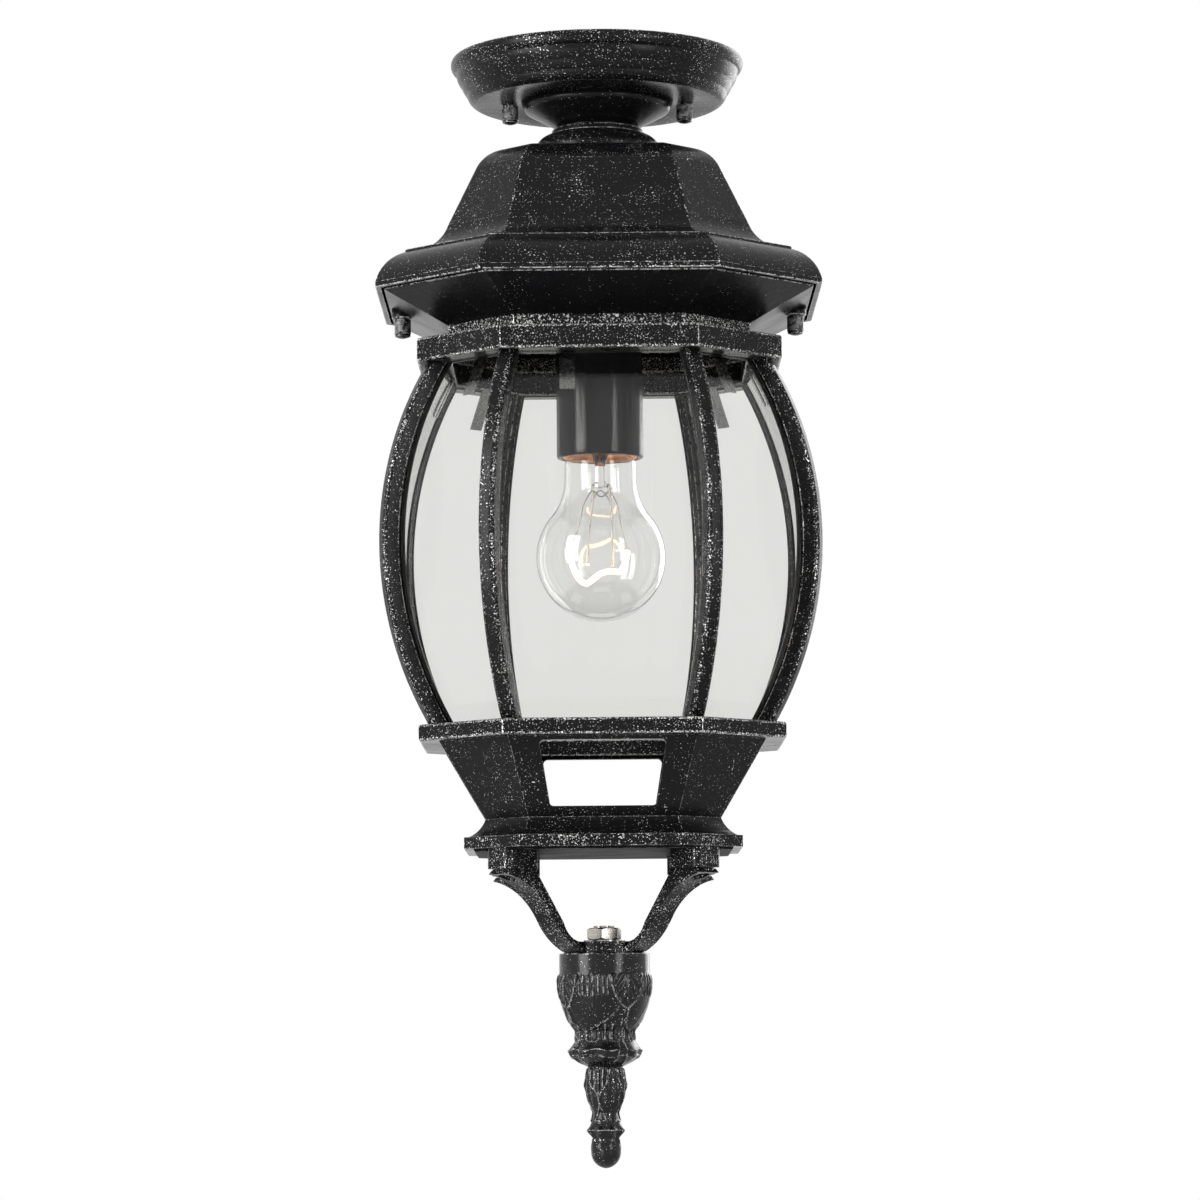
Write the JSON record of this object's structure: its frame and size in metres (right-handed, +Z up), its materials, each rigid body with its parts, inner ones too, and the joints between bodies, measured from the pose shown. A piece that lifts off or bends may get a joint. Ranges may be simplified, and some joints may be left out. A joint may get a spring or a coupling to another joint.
{
  "type": "porch ceiling lantern",
  "caption": "Close-to-ceiling porch lantern: cast eight-sided roof, bowed clear-glass cage that lowers for relamping, pierced basket and hanging turned finial.",
  "frame": {"origin": "centre of the mounting plate's upper face, which is the ceiling plane", "axes": "+Z up into the ceiling, the lantern hangs along -Z; +X to the right, with the cap nuts on the X axis; -Y faces the viewer"},
  "size_m": [0.2032, 0.2032, 0.515],
  "materials": {
    "black_powder_coat": "satin black powder coat with fine silver flecks",
    "black_knurled_nut": "semi-gloss black",
    "zinc_plated_steel": "bright zinc plate",
    "green_screw": "green passivated",
    "clear_pane_glass": "clear polished",
    "black_phenolic": "glossy moulded",
    "copper_shell": "bright copper",
    "brass_contact": "bright",
    "black_wire": "smooth insulation",
    "white_wire": "smooth insulation",
    "aluminium_base": "bright rolled",
    "black_base_glass": "glossy vitrite",
    "solder_tip": "solder",
    "clear_lamp_glass": "clear blown",
    "support_wire": "drawn wire",
    "glowing_filament": "glowing tungsten"
  },
  "bodies": {
    "root": {"mounting_plate": "zinc_plated_steel", "ground_screw": "green_screw", "canopy_studs": "zinc_plated_steel", "canopy": "black_powder_coat", "stem": "zinc_plated_steel", "stem_lock_nut": "zinc_plated_steel", "neck": "black_powder_coat", "roof_cap": "black_powder_coat", "roof": "black_powder_coat", "roof_nut": "zinc_plated_steel", "cage_studs": "zinc_plated_steel", "socket_cap": "black_phenolic", "socket_body": "black_phenolic", "socket_screw_shell": "copper_shell", "socket_contact": "brass_contact", "lead_black": "black_wire", "lead_white": "white_wire"},
    "canopy_nut_left": {"canopy_cap_nut_left": "black_knurled_nut"},
    "canopy_nut_right": {"canopy_cap_nut_right": "black_knurled_nut"},
    "cage": {"cage_fitter": "black_powder_coat", "cage_top_ring": "black_powder_coat", "cage_low_ring": "black_powder_coat", "cage_rib_1": "black_powder_coat", "cage_rib_2": "black_powder_coat", "cage_rib_3": "black_powder_coat", "cage_rib_4": "black_powder_coat", "cage_rib_5": "black_powder_coat", "cage_rib_6": "black_powder_coat", "cage_rib_7": "black_powder_coat", "cage_rib_8": "black_powder_coat", "glass_right": "clear_pane_glass", "glass_back_right": "clear_pane_glass", "glass_back": "clear_pane_glass", "glass_back_left": "clear_pane_glass", "glass_left": "clear_pane_glass", "glass_front_left": "clear_pane_glass", "glass_front": "clear_pane_glass", "glass_front_right": "clear_pane_glass", "glass_clips": "zinc_plated_steel", "basket": "black_powder_coat", "bottom_plate": "black_powder_coat", "finial_spider": "black_powder_coat", "spider_screws": "zinc_plated_steel", "finial": "black_powder_coat", "finial_washer": "zinc_plated_steel", "finial_nut": "zinc_plated_steel", "finial_rod": "zinc_plated_steel"},
    "cage_nut_left": {"cage_cap_nut_left": "black_knurled_nut"},
    "cage_nut_right": {"cage_cap_nut_right": "black_knurled_nut"},
    "lamp": {"lamp_base": "aluminium_base", "lamp_insulator": "black_base_glass", "lamp_tip": "solder_tip", "lamp_envelope": "clear_lamp_glass", "lamp_mount": "clear_lamp_glass", "lamp_wires": "support_wire", "lamp_filament": "glowing_filament"}
  },
  "joints": [
    {"name": "cage_lower", "type": "slide", "parent": "root", "child": "cage", "axis": [0, 0, -1], "range_m": [0, 0.16]},
    {"name": "lamp_turn", "type": "hinge", "parent": "root", "child": "lamp", "pos_m": [0, 0, -0.17], "axis": [0, 0, 1], "continuous": true},
    {"name": "canopy_nut_left_turn", "type": "hinge", "parent": "root", "child": "canopy_nut_left", "pos_m": [-0.04075, 0, -0.0258], "axis": [0, 0, 1], "continuous": true},
    {"name": "canopy_nut_right_turn", "type": "hinge", "parent": "root", "child": "canopy_nut_right", "pos_m": [0.04075, 0, -0.0258], "axis": [0, 0, 1], "continuous": true},
    {"name": "cage_nut_left_turn", "type": "hinge", "parent": "cage", "child": "cage_nut_left", "pos_m": [-0.0914, 0, -0.1264], "axis": [0, 0, 1], "continuous": true},
    {"name": "cage_nut_right_turn", "type": "hinge", "parent": "cage", "child": "cage_nut_right", "pos_m": [0.0914, 0, -0.1264], "axis": [0, 0, 1], "continuous": true}
  ]
}
